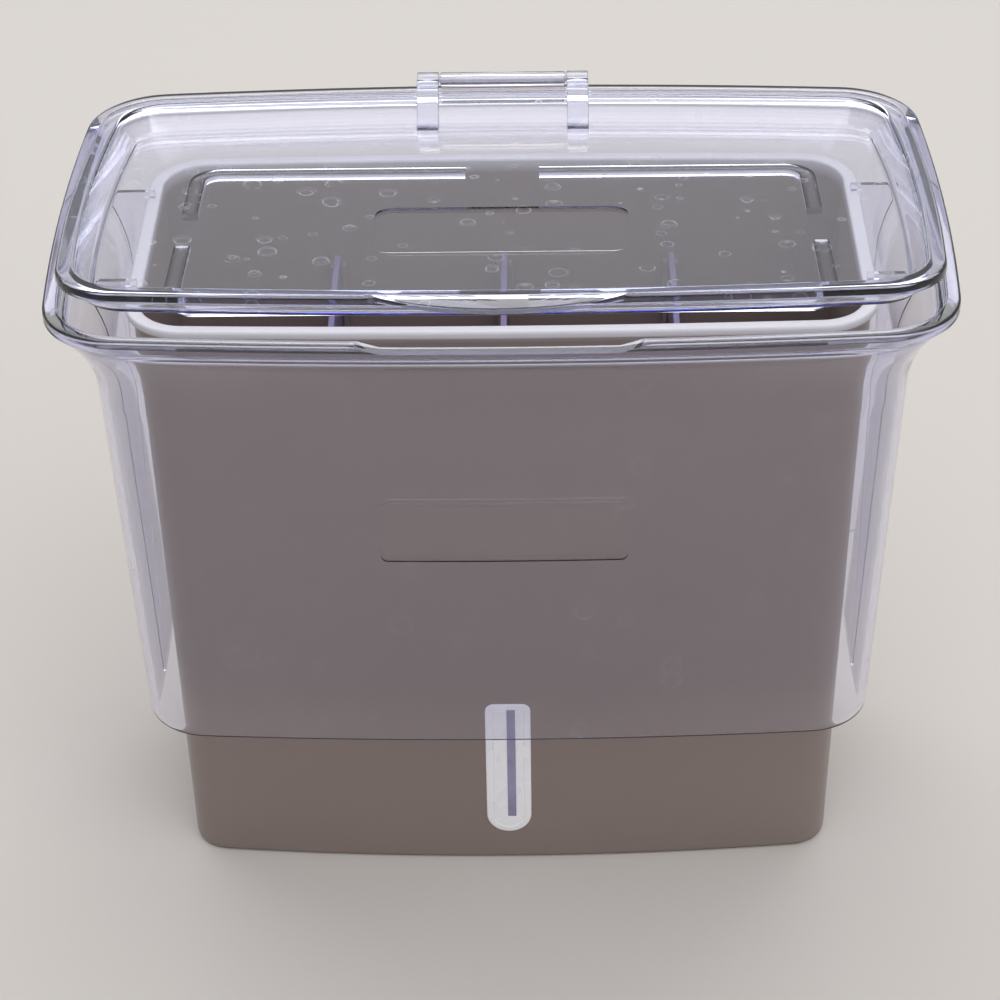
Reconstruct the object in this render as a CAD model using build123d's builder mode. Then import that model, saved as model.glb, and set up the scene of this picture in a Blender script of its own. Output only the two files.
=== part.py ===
# Herb keeper: an opaque tub for herbs in water, a clear sleeve round it, a hinged clear lid,
# three clear dividers and a water-level window. Millimetres, +Z up, front towards -Y.
# The origin is the centre of the tub's underside.
from build123d import *
from math import cos, radians, sin
import os

# Tub: a deep box with a little draft, a bowed front and back, and a flat rim turned outward
tub_height = 190.1
tub_top_half_x = 102.0
tub_top_half_y = 47.3
tub_top_bow = 2.0
tub_top_corner = 15.0
tub_foot_half_x = 97.3
tub_foot_half_y = 41.8
tub_foot_bow = 5.5
tub_foot_corner = 11.5
tub_wall = 2.2
tub_floor = 2.4
tub_foot_round = 2.0
rim_overhang = 2.0
rim_thickness = 2.2

# Water-level window in the tub's front, square at the top and round at the bottom
window_half_width = 6.75
window_bottom = 11.0
window_top = 61.0
window_top_corner = 2.6
window_proud = 0.5

# Dividers and the grooves that hold them
divider_pitch = 50.5
divider_thickness = 1.8
divider_below_rim = 30.1
divider_edge_gap = 0.4
divider_floor_gap = 0.3
groove_side_gap = 0.25
groove_rib_thickness = 1.2
groove_rib_depth = 2.5
groove_below_top = 4.0
groove_above_window = 5.0

# Sleeve: clear, open at the bottom, its top flared out to a thick flat rim
sleeve_forward = 1.5
sleeve_rim_beyond_x = 17.7
sleeve_rim_beyond_y = 22.6
sleeve_rim_side_bow = 3.3
sleeve_rim_front_bow = 5.3
sleeve_rim_corner = 23.3
sleeve_rim_height = 3.2
flare_height = 30.0
flare_inset = 12.8
flare_side_bow = 0.8
flare_corner = 19.8
sleeve_foot = 55.0
sleeve_foot_gap_x = 0.8
sleeve_foot_gap_y = 1.9
sleeve_foot_side_bow = 0.5
sleeve_foot_front_bow = 4.1
sleeve_foot_corner = 18.9
sleeve_wall = 2.0

# Seat for the lid inside the sleeve's rim, and the notch for the lid's thumb lip
seat_width = 3.8
seat_depth = 3.6
seat_ledge = 1.8
notch_half_width = 31.6
notch_slant = 7.2
lip_clearance = 0.4

# Bare label recess on the sleeve's front
label_half_width = 34.6
label_bottom = 122.4
label_top = 143.0
label_corner = 2.0
label_depth = 0.6

# Ribs inside the sleeve's short sides that steady it on the tub and end in lugs on the tub's rim
rib_thickness = 1.6
rib_clearance = 0.6
rib_above_foot = 3.0
lug_reach = 2.6
lug_lid_gap = 0.8
rib_place = 26.0

# Lid: a shallow clear dish with a flat rim, standing ajar
ajar = 4.9
lid_side_gap = 0.4
lid_rim_width = 4.6
lid_rim_thickness = 3.2
lid_dish_depth = 7.6
lid_floor = 1.6
lid_wall = 1.8
lid_wall_slope = 4.2
ridge_height = 2.2
ridge_tub_gap = 0.5
ridge_width = 4.5
ridge_half_x = 90.5
ridge_front = -60.3
ridge_back = 33.0
ridge_corner = 9.0
ridge_middle_gap = 21.5
ridge_leg_front = -21.0
ridge_leg_back = 1.0
panel_half_width = 35.6
panel_middle = -12.8
panel_depth = 30.4
panel_corner = 5.0
panel_sunk = 0.5
lip_half_width = 36.0
lip_reach = 7.4
lip_thickness = 1.8

# Hinge at the back rim
hinge_rise = 2.5
hinge_inset = 1.6
barrel_radius = 2.1
barrel_half_length = 18.9
barrel_web = 2.4
ear_radius = 2.2
ear_width = 6.5
ear_gap = 0.4
ear_fall = 1.2
ear_shoulder = 5.0
ear_knee = 9.0
ear_heel = 12.5
ear_toe = 16.0
rod_radius = 1.0
rod_running_gap = 0.05
rod_press_gap = 0.01

# Working values
divider_top = tub_height - divider_below_rim
tub_rim_half_x = tub_top_half_x + rim_overhang
tub_rim_half_y = tub_top_half_y + rim_overhang
lid_depth = lid_dish_depth + lid_floor
lug_thickness = ridge_height + ridge_tub_gap - lug_lid_gap
sleeve_top = tub_height + lid_depth + ridge_height + ridge_tub_gap
sleeve_rim_half_x = tub_rim_half_x + sleeve_rim_beyond_x
sleeve_rim_half_y = tub_rim_half_y + sleeve_rim_beyond_y
sleeve_foot_half_x = tub_rim_half_x + sleeve_foot_gap_x + sleeve_wall
sleeve_foot_half_y = tub_rim_half_y + sleeve_foot_gap_y + sleeve_wall
hinge_y = sleeve_rim_half_y + sleeve_rim_front_bow - hinge_inset - sleeve_forward
hinge_z = sleeve_top + hinge_rise
ear_inner = barrel_half_length + ear_gap
ear_outer = ear_inner + ear_width
rim_back_gap = seat_width + lid_side_gap - hinge_inset
beyond = 2 * sleeve_rim_half_x

sleeve_plane = Plane.XY.move(Location((0, -sleeve_forward, 0)))
lid_tilt = (0, sin(radians(ajar)), cos(radians(ajar)))
lid_hinge_plane = Plane(origin=(0, hinge_y, hinge_z), x_dir=(1, 0, 0), z_dir=lid_tilt)
lid_middle = lid_hinge_plane.from_local_coords((0, -hinge_y - sleeve_forward, -hinge_rise))
lid_plane = Plane(origin=lid_middle, x_dir=(1, 0, 0), z_dir=lid_tilt)


def outline(plane, half_x, half_y, side_bow, front_bow, corner):
    """A rounded rectangle whose four sides are bowed outward."""
    with BuildSketch(plane) as shape:
        with BuildLine():
            ThreePointArc((-half_x, -half_y), (0, -half_y - front_bow), (half_x, -half_y))
            ThreePointArc((half_x, -half_y), (half_x + side_bow, 0), (half_x, half_y))
            ThreePointArc((half_x, half_y), (0, half_y + front_bow), (-half_x, half_y))
            ThreePointArc((-half_x, half_y), (-half_x - side_bow, 0), (-half_x, -half_y))
        make_face()
        fillet(shape.vertices(), corner)
    return shape.sketch


def tub_outline(level, inset):
    """The tub's outside at a level, moved in by the inset."""
    share = level / tub_height
    half_x = tub_foot_half_x + (tub_top_half_x - tub_foot_half_x) * share
    half_y = tub_foot_half_y + (tub_top_half_y - tub_foot_half_y) * share
    bow = tub_foot_bow + (tub_top_bow - tub_foot_bow) * share
    corner = tub_foot_corner + (tub_top_corner - tub_foot_corner) * share
    return outline(Plane.XY.offset(level), half_x - inset, half_y - inset, 0.01, bow, corner - inset)


def rim_outline(plane, inset):
    """The sleeve's rim, moved in by the inset."""
    half_x = sleeve_rim_half_x - inset
    half_y = sleeve_rim_half_y - inset
    return outline(plane, half_x, half_y, sleeve_rim_side_bow, sleeve_rim_front_bow, sleeve_rim_corner - inset)


def flare_outline(drop, wall):
    """The flare at a drop below the rim, moved in by the wall; it turns down along a parabola."""
    share = 1 - (1 - drop / flare_height) ** 2
    side_bow = sleeve_rim_side_bow + (flare_side_bow - sleeve_rim_side_bow) * share
    half_x = sleeve_rim_half_x + sleeve_rim_side_bow - flare_inset * share - side_bow - wall
    half_y = sleeve_rim_half_y - flare_inset * share - wall
    corner = sleeve_rim_corner + (flare_corner - sleeve_rim_corner) * share - wall
    plane = sleeve_plane.offset(sleeve_top - sleeve_rim_height - drop)
    return outline(plane, half_x, half_y, side_bow, sleeve_rim_front_bow, corner)


def foot_outline(wall):
    """The sleeve's bottom edge, moved in by the wall."""
    half_x = sleeve_foot_half_x - wall
    half_y = sleeve_foot_half_y - wall
    plane = sleeve_plane.offset(sleeve_foot)
    return outline(plane, half_x, half_y, sleeve_foot_side_bow, sleeve_foot_front_bow, sleeve_foot_corner - wall)


def window_outline(plane):
    """The window's outline on an upright plane: round below, two small corners above."""
    with BuildSketch(plane) as shape:
        with BuildLine():
            Polyline(
                (-window_half_width, window_bottom + window_half_width),
                (-window_half_width, window_top),
                (window_half_width, window_top),
                (window_half_width, window_bottom + window_half_width),
            )
            ThreePointArc(
                (window_half_width, window_bottom + window_half_width),
                (0, window_bottom),
                (-window_half_width, window_bottom + window_half_width),
            )
        make_face()
        fillet(shape.vertices().group_by(Axis.Y)[-1], window_top_corner)
    return shape.sketch


os.makedirs("parts", exist_ok=True)

# The grooves are pairs of ribs on the inside of the tub's front and back
with BuildPart() as grooves:
    loft([tub_outline(tub_floor, tub_wall), tub_outline(tub_height, tub_wall)])
    loft(
        [tub_outline(tub_floor, tub_wall + groove_rib_depth), tub_outline(tub_height, tub_wall + groove_rib_depth)],
        mode=Mode.SUBTRACT,
    )
    groove_top = divider_top - groove_below_top
    rib_middle = divider_thickness / 2 + groove_side_gap + groove_rib_thickness / 2
    groove_places = [(place * divider_pitch + side * rib_middle, 0) for place in (-1, 0, 1) for side in (-1, 1)]
    with BuildSketch(Plane.XY.offset(tub_floor)) as rib_footprints:
        with Locations(*groove_places):
            Rectangle(groove_rib_thickness, 2 * tub_height)
    extrude(amount=groove_top - tub_floor, mode=Mode.INTERSECT)
    with BuildSketch(Plane.XY.offset(tub_floor)) as window_clearance:
        with Locations((0, -tub_height / 2)):
            Rectangle(2 * window_half_width, tub_height)
    extrude(amount=window_top + groove_above_window - tub_floor, mode=Mode.SUBTRACT)

# Tub
with BuildPart() as tub:
    loft([tub_outline(0, 0), tub_outline(tub_height, 0)])
    fillet(tub.faces().sort_by(Axis.Z)[0].edges(), tub_foot_round)
    extrude(
        outline(
            Plane.XY.offset(tub_height - rim_thickness),
            tub_rim_half_x,
            tub_rim_half_y,
            0.01,
            tub_top_bow,
            tub_top_corner + rim_overhang,
        ),
        amount=rim_thickness,
    )
    loft([tub_outline(tub_floor, tub_wall), tub_outline(tub_height, tub_wall)], mode=Mode.SUBTRACT)
    add(grooves.part)
    extrude(window_outline(Plane.XZ), amount=beyond, mode=Mode.SUBTRACT)
tub.part.label = "tub"
export_step(tub.part, "parts/tub.step")

# Water-level window, moulded into the tub's front wall and a little proud of it
with BuildPart() as window:
    loft([tub_outline(0, -window_proud), tub_outline(tub_height, -window_proud)])
    loft([tub_outline(0, tub_wall), tub_outline(tub_height, tub_wall)], mode=Mode.SUBTRACT)
    extrude(window_outline(Plane.XZ), amount=beyond, mode=Mode.INTERSECT)
window.part.label = "water_level_window"
export_step(window.part, "parts/water_level_window.step")

# Dividers, each a plate that follows the tub's slanted walls
divider_names = {"divider_left": -divider_pitch, "divider_middle": 0, "divider_right": divider_pitch}
for divider_name, divider_x in divider_names.items():
    divider_foot = tub_floor + divider_floor_gap
    plate_inset = tub_wall + divider_edge_gap
    with BuildPart() as divider:
        loft([tub_outline(divider_foot, plate_inset), tub_outline(divider_top, plate_inset)])
        with BuildSketch(Plane.XY.offset(divider_foot)):
            with Locations((divider_x, 0)):
                Rectangle(divider_thickness, 2 * tub_height)
        extrude(amount=divider_top - divider_foot, mode=Mode.INTERSECT)
    divider.part.label = divider_name
    export_step(divider.part, f"parts/{divider_name}.step")

# The sleeve's inside, less the ribs that stand in it
flare_drops = [0.0, 0.16 * flare_height, 0.33 * flare_height, 0.56 * flare_height, flare_height]
flare_walls = [seat_width + seat_ledge, sleeve_wall + 1.3, sleeve_wall + 0.4, sleeve_wall + 0.1, sleeve_wall]
rib_face_x = tub_rim_half_x + rib_clearance
rib_foot = sleeve_foot + rib_above_foot
lug_tip = tub_rim_half_x - lug_reach
rib_places = [(side, place) for side in (-1, 1) for place in (-rib_place, rib_place)]
with BuildPart() as sleeve_hollow:
    loft([flare_outline(drop, wall) for drop, wall in zip(flare_drops, flare_walls)])
    loft([foot_outline(sleeve_wall), flare_outline(flare_height, sleeve_wall)])
    with BuildSketch(Plane.XY.offset(rib_foot)):
        with Locations(*[(side * (rib_face_x + beyond / 2), place) for side, place in rib_places]):
            Rectangle(beyond, rib_thickness)
    extrude(amount=tub_height - rib_foot, mode=Mode.SUBTRACT)
    with BuildSketch(Plane.XY.offset(tub_height)):
        with Locations(*[(side * (lug_tip + beyond / 2), place) for side, place in rib_places]):
            Rectangle(beyond, rib_thickness)
    extrude(amount=lug_thickness, mode=Mode.SUBTRACT)

# The bare label recess: a shallow pocket that follows the front wall
with BuildPart() as label_pocket:
    with BuildSketch(Plane.XZ):
        with Locations((0, (label_bottom + label_top) / 2)):
            RectangleRounded(2 * label_half_width, label_top - label_bottom, label_corner)
    extrude(amount=beyond)
    loft([foot_outline(label_depth), flare_outline(flare_height, label_depth)], mode=Mode.SUBTRACT)

# Sleeve
with BuildPart() as sleeve:
    loft([flare_outline(drop, 0) for drop in flare_drops])
    loft([foot_outline(0), flare_outline(flare_height, 0)])
    extrude(rim_outline(sleeve_plane.offset(sleeve_top - sleeve_rim_height), 0), amount=sleeve_rim_height)
    add(sleeve_hollow.part, mode=Mode.SUBTRACT)
    extrude(rim_outline(sleeve_plane.offset(sleeve_top), seat_width), amount=-seat_depth, mode=Mode.SUBTRACT)
    add(label_pocket.part, mode=Mode.SUBTRACT)
    notch_floor = sleeve_top - lip_thickness - lip_clearance
    with BuildSketch(Plane.XZ):
        with BuildLine():
            Polyline(
                (-notch_half_width, notch_floor),
                (notch_half_width, notch_floor),
                (notch_half_width + notch_slant, sleeve_top),
                (-notch_half_width - notch_slant, sleeve_top),
                close=True,
            )
        make_face()
    extrude(amount=beyond, mode=Mode.SUBTRACT)
    with BuildSketch(Plane.XY.offset(sleeve_top - sleeve_rim_height / 2)):
        with Locations((0, hinge_y)):
            Rectangle(2 * barrel_half_length, barrel_web)
    extrude(amount=hinge_rise + sleeve_rim_height / 2)
    with BuildSketch(Plane.YZ.offset(-barrel_half_length)):
        with Locations((hinge_y, hinge_z)):
            Circle(barrel_radius)
    extrude(amount=2 * barrel_half_length)
    with BuildSketch(Plane.YZ.offset(-barrel_half_length)):
        with Locations((hinge_y, hinge_z)):
            Circle(rod_radius + rod_running_gap)
    extrude(amount=2 * barrel_half_length, mode=Mode.SUBTRACT)
sleeve.part.label = "sleeve"
export_step(sleeve.part, "parts/sleeve.step")

# Lid, drawn in its own plane, which is tipped up about the hinge line
rim_edge = seat_width + lid_side_gap
dish_edge = rim_edge + lid_rim_width
dish_foot = dish_edge + lid_wall_slope
with BuildPart() as lid:
    extrude(rim_outline(lid_plane, rim_edge), amount=-lid_rim_thickness)
    loft(
        [
            rim_outline(lid_plane.offset(-lid_rim_thickness / 2), dish_edge - lid_wall),
            rim_outline(lid_plane.offset(-lid_depth), dish_foot - lid_wall),
        ]
    )
    loft(
        [rim_outline(lid_plane, dish_edge), rim_outline(lid_plane.offset(-lid_dish_depth), dish_foot)],
        mode=Mode.SUBTRACT,
    )
    with BuildSketch(lid_plane.offset(-lid_dish_depth)):
        with Locations((0, panel_middle)):
            RectangleRounded(2 * panel_half_width, panel_depth, panel_corner)
    extrude(amount=-panel_sunk, mode=Mode.SUBTRACT)
    with BuildSketch(lid_plane.offset(-lid_depth)):
        with Locations((0, (ridge_front + ridge_back) / 2)):
            RectangleRounded(2 * ridge_half_x, ridge_back - ridge_front, ridge_corner)
            RectangleRounded(
                2 * (ridge_half_x - ridge_width),
                ridge_back - ridge_front - 2 * ridge_width,
                ridge_corner - ridge_width,
                mode=Mode.SUBTRACT,
            )
        Rectangle(ridge_middle_gap, beyond, mode=Mode.SUBTRACT)
        with Locations((0, (ridge_leg_front + ridge_leg_back) / 2)):
            Rectangle(beyond, ridge_leg_back - ridge_leg_front, mode=Mode.SUBTRACT)
    extrude(amount=-ridge_height)
    lip_root = -sleeve_rim_half_y - sleeve_rim_front_bow + rim_edge + lid_rim_width / 2
    lip_front = -sleeve_rim_half_y - sleeve_rim_front_bow + rim_edge - lip_reach
    with BuildSketch(lid_plane):
        with BuildLine():
            ThreePointArc((-lip_half_width, lip_root), (0, lip_front), (lip_half_width, lip_root))
            Line((lip_half_width, lip_root), (-lip_half_width, lip_root))
        make_face()
    extrude(amount=-lip_thickness)
    for ear_start in (-ear_outer, ear_inner):
        ear_plane = Plane(
            origin=lid_hinge_plane.from_local_coords((ear_start, 0, 0)),
            x_dir=lid_hinge_plane.y_dir,
            z_dir=(1, 0, 0),
        )
        with BuildSketch(ear_plane):
            Circle(ear_radius)
            with BuildLine():
                Polyline(
                    (0, ear_radius),
                    (-ear_shoulder, ear_radius - ear_fall),
                    (-ear_knee, -hinge_rise + ear_fall / 2),
                    (-ear_toe, -hinge_rise - lid_dish_depth + ear_fall / 4),
                    (-ear_toe, -hinge_rise - lid_dish_depth - lid_floor / 4),
                    (-ear_heel, -hinge_rise - lid_dish_depth - lid_floor / 4),
                    (-rim_back_gap - 2 * ear_fall, -hinge_rise - ear_fall),
                    (-rim_back_gap - ear_fall / 2, -hinge_rise + ear_fall / 4),
                    (0, -ear_radius),
                    close=True,
                )
            make_face()
            Circle(rod_radius + rod_press_gap, mode=Mode.SUBTRACT)
        extrude(amount=ear_width)
lid.part.label = "lid"
export_step(lid.part, "parts/lid.step")

# Hinge rod, pressed into the lid's ears and turning in the sleeve's barrel
with BuildPart() as hinge_rod:
    with BuildSketch(Plane.YZ.offset(-ear_outer)):
        with Locations((hinge_y, hinge_z)):
            Circle(rod_radius)
    extrude(amount=2 * ear_outer)
hinge_rod.part.label = "hinge_rod"
export_step(hinge_rod.part, "parts/hinge_rod.step")
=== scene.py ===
import math

import bmesh
import bpy
from mathutils import Matrix, Vector


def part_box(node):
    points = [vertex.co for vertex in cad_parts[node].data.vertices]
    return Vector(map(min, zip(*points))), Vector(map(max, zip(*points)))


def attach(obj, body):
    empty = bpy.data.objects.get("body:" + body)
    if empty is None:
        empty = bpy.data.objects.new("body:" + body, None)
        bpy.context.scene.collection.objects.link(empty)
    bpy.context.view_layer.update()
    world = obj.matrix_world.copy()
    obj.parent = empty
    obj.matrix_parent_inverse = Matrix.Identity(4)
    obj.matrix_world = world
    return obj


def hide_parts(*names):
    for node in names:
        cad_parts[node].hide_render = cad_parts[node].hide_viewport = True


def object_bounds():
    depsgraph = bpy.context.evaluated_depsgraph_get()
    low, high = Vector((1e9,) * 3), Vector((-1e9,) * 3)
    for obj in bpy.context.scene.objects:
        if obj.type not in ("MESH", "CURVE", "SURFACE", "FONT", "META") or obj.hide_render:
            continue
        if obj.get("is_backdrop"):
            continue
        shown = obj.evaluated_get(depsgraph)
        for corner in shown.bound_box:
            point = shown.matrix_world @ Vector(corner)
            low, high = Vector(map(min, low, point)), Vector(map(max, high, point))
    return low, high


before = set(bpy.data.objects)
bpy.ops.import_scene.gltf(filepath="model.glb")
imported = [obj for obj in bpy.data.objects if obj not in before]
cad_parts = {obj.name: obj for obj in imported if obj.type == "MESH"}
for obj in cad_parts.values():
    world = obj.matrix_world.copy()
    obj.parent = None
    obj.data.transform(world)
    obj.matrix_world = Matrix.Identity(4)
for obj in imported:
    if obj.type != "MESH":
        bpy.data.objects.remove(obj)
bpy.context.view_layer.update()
MILLIMETRE = 0.001

# ---------------------------------------------------------------- tub
# The tub holds the water and the herbs. It is one injection moulding in ABS, with a little draft,
# a gently bowed front and back, and a flat rim turned outward round its mouth. Its walls carry a
# painted shade of mauve-grey, and its rim a paler painted light from above.
tub_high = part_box("tub")[1] / MILLIMETRE
tub_height = tub_high.z
tub_rim_overhang = 2.0
tub_rim_thickness = 2.2
tub_top = dict(
    half_x=tub_high.x - tub_rim_overhang, half_y=47.3, side_bow=0.01, front_bow=2.0, corner=15.0
)
tub_foot = dict(half_x=97.3, half_y=41.8, side_bow=0.01, front_bow=5.5, corner=11.5)
tub_wall = 2.2
tub_floor = 2.4
tub_end_inset = 9.0
tub_grain = 0.35
tub_flow = 60

# How finely curves are cut, and the degrees below which an edge is shaded smooth.
FRONT_STEPS = 56
SIDE_STEPS = 28
CORNER_STEPS = 14
EDGE_STEPS = 3
LEAST_CORNER = 1.0
SMOOTH_ANGLE = 32.0


def between(low, high, share):
    """An outline's sizes at a share of the way from one outline to another."""
    return {key: low[key] + (high[key] - low[key]) * share for key in low}


def arc(centre, radius, start, end, steps):
    """Points along a circle from one angle to just before another, in plan."""
    turns = [start + (end - start) * step / steps for step in range(steps)]
    return [
        Vector((centre.x + radius * math.cos(turn), centre.y + radius * math.sin(turn)))
        for turn in turns
    ]


def ring(sizes, inset, z, forward=0.0):
    """One level of a rounded rectangle with bowed sides, counter-clockwise from mid-front."""
    half_x, half_y = sizes["half_x"] - inset, sizes["half_y"] - inset
    front_bow, side_bow = sizes["front_bow"], sizes["side_bow"]
    corner = max(sizes["corner"] - inset, LEAST_CORNER)
    front_radius = (half_x**2 + front_bow**2) / (2 * front_bow)
    side_radius = (half_y**2 + side_bow**2) / (2 * side_bow)
    front_centre = Vector((0, front_radius - half_y - front_bow))
    side_centre = Vector((half_x + side_bow - side_radius, 0))
    # The corner's centre lies where the front's and the side's circles, less its radius, cross.
    reach_front, reach_side = front_radius - corner, side_radius - corner
    line = side_centre - front_centre
    span = line.length
    along = (reach_front**2 - reach_side**2 + span**2) / (2 * span)
    across = math.sqrt(max(reach_front**2 - along**2, 0))
    line.normalize()
    foot = front_centre + line * along
    aside = Vector((line.y, -line.x))
    choices = [foot + aside * across, foot - aside * across]
    round_centre = min(choices, key=lambda c: (c - Vector((half_x, -half_y))).length)
    to_front = round_centre - front_centre
    to_side = round_centre - side_centre
    front_turn = math.atan2(to_front.y, to_front.x)
    side_turn = math.atan2(to_side.y, to_side.x)
    quarter = arc(front_centre, front_radius, -math.pi / 2, front_turn, FRONT_STEPS // 2)
    quarter += arc(round_centre, corner, front_turn, side_turn, CORNER_STEPS)
    quarter += arc(side_centre, side_radius, side_turn, 0, SIDE_STEPS // 2)
    right_back = [Vector((p.x, -p.y)) for p in reversed(quarter[1:])]
    half = quarter + [Vector((half_x + side_bow, 0))] + right_back
    left = [Vector((-p.x, -p.y)) for p in half]
    return [Vector((p.x, p.y - forward, z)) for p in half + left]


def rounded(corners, step=12.0, fine=5):
    """A profile of (inset, height) corners, each with a radius, as a line of points.

    Straight runs are cut about every step, and each rounded corner into fine pieces.
    """
    line = []
    count = len(corners)
    for index, (inset, height, radius) in enumerate(corners):
        here = Vector((inset, height))
        before = Vector(corners[index - 1][:2])
        after = Vector(corners[(index + 1) % count][:2])
        if radius == 0:
            line.append(here)
            continue
        back, on = (before - here).normalized(), (after - here).normalized()
        spread = back.angle(on) / 2
        cut = radius / math.tan(spread)
        middle = here + (back + on).normalized() * (radius / math.sin(spread))
        start = (here + back * cut - middle).normalized()
        end = (here + on * cut - middle).normalized()
        for turn in range(fine + 1):
            line.append(middle + radius * start.slerp(end, turn / fine))
    dense = []
    for here, after in zip(line, line[1:] + line[:1]):
        pieces = max(1, round((after - here).length / step))
        dense += [here.lerp(after, piece / pieces) for piece in range(pieces)]
    return dense


def soften(mesh):
    """Smooth shading, with the sharper edges left crisp."""
    mesh.polygons.foreach_set("use_smooth", [True] * len(mesh.polygons))
    mesh.set_sharp_from_angle(angle=math.radians(SMOOTH_ANGLE))
    mesh.update()


def as_mesh(name, points, faces, place=None):
    """A mesh object at the origin from points in millimetres."""
    mesh = bpy.data.meshes.new(name)
    place = place or Matrix.Identity(4)
    mesh.from_pydata([(place @ Vector(p)) * MILLIMETRE for p in points], [], faces)
    mesh.validate()
    soften(mesh)
    made = bpy.data.objects.new(name, mesh)
    bpy.context.scene.collection.objects.link(made)
    return made


def skin(name, rings, closed, place=None):
    """A shell whose faces join ring after ring: a closed loop, or a solid with flat ends."""
    around = len(rings[0])
    points = [p for each in rings for p in each]
    faces = []
    for low in range(len(rings) if closed else len(rings) - 1):
        high = (low + 1) % len(rings)
        low_start, high_start = low * around, high * around
        for here in range(around):
            on = (here + 1) % around
            faces.append((low_start + here, low_start + on, high_start + on, high_start + here))
    if not closed:
        faces.append(tuple(reversed(range(around))))
        faces.append(tuple(range((len(rings) - 1) * around, len(rings) * around)))
    return as_mesh(name, points, faces, place)


def plate(name, outline, low, high, rounding=0.0, place=None):
    """A flat plate of a given outline, its edges rounded, between two heights."""
    count = len(outline)
    inward = []
    for index in range(count):
        before, here, after = outline[index - 1], outline[index], outline[(index + 1) % count]
        first, second = (here - before).normalized(), (after - here).normalized()
        normal = (Vector((-first.y, first.x)) + Vector((-second.y, second.x))).normalized()
        inward.append(normal / max(normal.dot(Vector((-first.y, first.x))), 0.5))
    steps = [(rounding, low)]
    if rounding:
        for turn in range(1, EDGE_STEPS + 1):
            angle = math.pi / 2 * turn / EDGE_STEPS
            inset = rounding * (1 - math.sin(angle))
            steps.append((inset, low + rounding * (1 - math.cos(angle))))
        steps += [(inset, low + high - height) for inset, height in reversed(steps)]
    else:
        steps.append((0, high))
    rings = [
        [(*(p + n * inset), height) for p, n in zip(outline, inward)] for inset, height in steps
    ]
    return skin(name, rings, False, place)


def finished(piece):
    """Applies a piece's modifiers, so that its mesh is what is seen."""
    seen = piece.evaluated_get(bpy.context.evaluated_depsgraph_get())
    mesh = bpy.data.meshes.new_from_object(seen)
    piece.modifiers.clear()
    piece.data = mesh
    soften(mesh)
    return piece


def joined(piece, others, operation):
    """Welds other solids to a piece, or cuts them from it, and removes them."""
    for other in others:
        work = piece.modifiers.new(operation.lower(), "BOOLEAN")
        work.operation = operation
        work.object = other
        work.solver = "EXACT"
        finished(piece)
        bpy.data.objects.remove(other)
    return piece


def linear(colour):
    """An sRGB hex colour as linear red, green, blue and alpha."""
    parts = [int(colour[place:place + 2], 16) / 255 for place in (1, 3, 5)]
    parts = [part / 12.92 if part <= 0.04045 else ((part + 0.055) / 1.055) ** 2.4 for part in parts]
    return (*parts, 1.0)


def add(tree, kind, inputs=None, **settings):
    """One node with its settings. An input that is a socket is linked, and others are set."""
    made = tree.nodes.new(kind)
    for key, value in settings.items():
        setattr(made, key, value)
    for key, value in (inputs or {}).items():
        if isinstance(value, bpy.types.NodeSocket):
            tree.links.new(value, made.inputs[key])
        else:
            made.inputs[key].default_value = value
    return made


def material(name):
    """A new material with an empty node tree and its output."""
    made = bpy.data.materials.new(name)
    made.use_nodes = True
    made.node_tree.nodes.clear()
    return made, made.node_tree, add(made.node_tree, "ShaderNodeOutputMaterial")


def per_metre(size):
    """A texture scale that gives features of a size in millimetres."""
    return 1 / (size * MILLIMETRE)


def noise(tree, size, detail):
    """Noise in the object's own space, with features of a size in millimetres."""
    place = add(tree, "ShaderNodeTexCoord").outputs["Object"]
    inputs = {"Vector": place, "Scale": per_metre(size), "Detail": detail}
    return add(tree, "ShaderNodeTexNoise", inputs).outputs["Fac"]


def ranged(tree, value, low, high):
    """A value between 0 and 1 carried over to between two others."""
    inputs = {"Value": value, "To Min": low, "To Max": high}
    return add(tree, "ShaderNodeMapRange", inputs).outputs["Result"]


def bumped(tree, height, strength, distance):
    """A surface that seems to rise and fall with a height, by up to a distance in millimetres."""
    inputs = {"Height": height, "Strength": strength, "Distance": distance * MILLIMETRE}
    return add(tree, "ShaderNodeBump", inputs).outputs["Normal"]


# Injection-moulded ABS with a fine spark-eroded finish: satin, opaque and faintly mottled. The
# walls' dark mauve-grey is painted shade, and the rim is painted much paler as light falling on it
# from above. The real grain is about 0.1 mm; it is drawn at 0.35 mm so that it shows.
tub_plastic, tree, output = material("mauve_grey_ABS_satin_painted_shade_and_rim_light")
flow = noise(tree, tub_flow, 3.0)
# Painted shade: the walls' dark mauve-grey, mottled at random, stands in for shade on the tub.
painted_shade_wall_tone = add(tree, "ShaderNodeMix", {
    "Factor": flow, "A": linear("#847671"), "B": linear("#887A75"),
}, data_type="RGBA")
place = add(tree, "ShaderNodeTexCoord").outputs["Object"]
height = add(tree, "ShaderNodeSeparateXYZ", {"Vector": place})
# Painted light: the colour turns pale towards the rim, as if the rim were lit from above.
painted_rim_light = add(tree, "ShaderNodeMapRange", {
    "Value": height.outputs["Z"],
    "From Min": (tub_height - 2 * tub_rim_thickness) * MILLIMETRE,
    "From Max": (tub_height - 0.5 * tub_rim_thickness) * MILLIMETRE,
})
tone = add(tree, "ShaderNodeMix", {
    "Factor": painted_rim_light.outputs["Result"], "A": painted_shade_wall_tone.outputs["Result"], "B": linear("#D0CFD2"),
}, data_type="RGBA")
satin = add(tree, "ShaderNodeBsdfPrincipled", {
    "Base Color": tone.outputs["Result"],
    "Roughness": ranged(tree, flow, 0.27, 0.30),
    "IOR": 1.53,
    "Normal": bumped(tree, noise(tree, tub_grain, 2.0), 0.12, 0.06),
})
tree.links.new(satin.outputs["BSDF"], output.inputs["Surface"])


def tub_sizes(z):
    """The tub's outline at a height, with the draft of its walls."""
    return between(tub_foot, tub_top, z / tub_height)


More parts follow.
